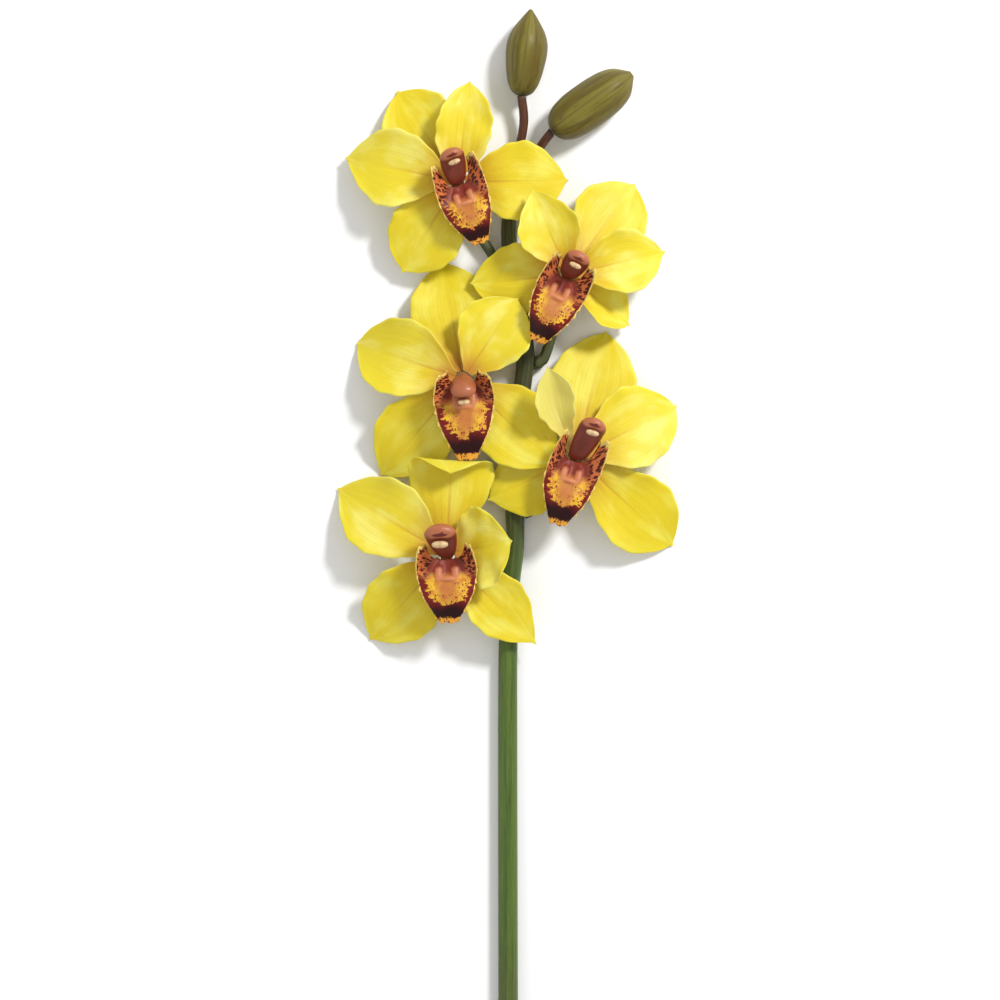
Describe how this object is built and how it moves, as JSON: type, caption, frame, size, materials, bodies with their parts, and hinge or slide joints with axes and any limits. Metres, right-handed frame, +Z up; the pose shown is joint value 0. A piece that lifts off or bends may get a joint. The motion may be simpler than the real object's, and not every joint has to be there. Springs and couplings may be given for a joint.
{
  "type": "cut orchid stem",
  "caption": "Cut flower stem of a yellow cymbidium orchid lying face up, with open flowers with spotted lips along its upper half and closed buds at its tip",
  "frame": {"origin": "middle of the bounding box's bottom, on the surface the stem lies on", "axes": "+Y along the stem from its cut end to the buds, +Z up out of the open faces of the flowers, +X to the right seen from above with the buds at the top"},
  "size_m": [0.1862, 0.5682, 0.0447],
  "materials": {
    "stem_green": "satin",
    "pedicel_olive": "satin",
    "bud_stalk_brown": "satin",
    "bud_olive": "satin",
    "petal_yellow": "satin",
    "sepal_yellow": "satin",
    "lip_spotted": "satin",
    "column_terracotta": "satin",
    "anther_cream": "satin"
  },
  "bodies": {
    "root": {"stem": "stem_green", "flower_1_pedicel": "pedicel_olive", "flower_1_dorsal_sepal": "sepal_yellow", "flower_1_left_petal": "petal_yellow", "flower_1_right_petal": "petal_yellow", "flower_1_left_sepal": "sepal_yellow", "flower_1_right_sepal": "sepal_yellow", "flower_1_lip": "lip_spotted", "flower_1_column": "column_terracotta", "flower_1_anther_cap": "anther_cream", "flower_2_pedicel": "pedicel_olive", "flower_2_dorsal_sepal": "sepal_yellow", "flower_2_left_petal": "petal_yellow", "flower_2_right_petal": "petal_yellow", "flower_2_left_sepal": "sepal_yellow", "flower_2_right_sepal": "sepal_yellow", "flower_2_lip": "lip_spotted", "flower_2_column": "column_terracotta", "flower_2_anther_cap": "anther_cream", "flower_3_pedicel": "pedicel_olive", "flower_3_dorsal_sepal": "sepal_yellow", "flower_3_left_petal": "petal_yellow", "flower_3_right_petal": "petal_yellow", "flower_3_left_sepal": "sepal_yellow", "flower_3_right_sepal": "sepal_yellow", "flower_3_lip": "lip_spotted", "flower_3_column": "column_terracotta", "flower_3_anther_cap": "anther_cream", "flower_4_pedicel": "pedicel_olive", "flower_4_dorsal_sepal": "sepal_yellow", "flower_4_left_petal": "petal_yellow", "flower_4_right_petal": "petal_yellow", "flower_4_left_sepal": "sepal_yellow", "flower_4_right_sepal": "sepal_yellow", "flower_4_lip": "lip_spotted", "flower_4_column": "column_terracotta", "flower_4_anther_cap": "anther_cream", "flower_5_pedicel": "pedicel_olive", "flower_5_dorsal_sepal": "sepal_yellow", "flower_5_left_petal": "petal_yellow", "flower_5_right_petal": "petal_yellow", "flower_5_left_sepal": "sepal_yellow", "flower_5_right_sepal": "sepal_yellow", "flower_5_lip": "lip_spotted", "flower_5_column": "column_terracotta", "flower_5_anther_cap": "anther_cream", "bud_1_pedicel": "bud_stalk_brown", "bud_1": "bud_olive", "bud_2_pedicel": "bud_stalk_brown", "bud_2": "bud_olive"}
  },
  "joints": []
}
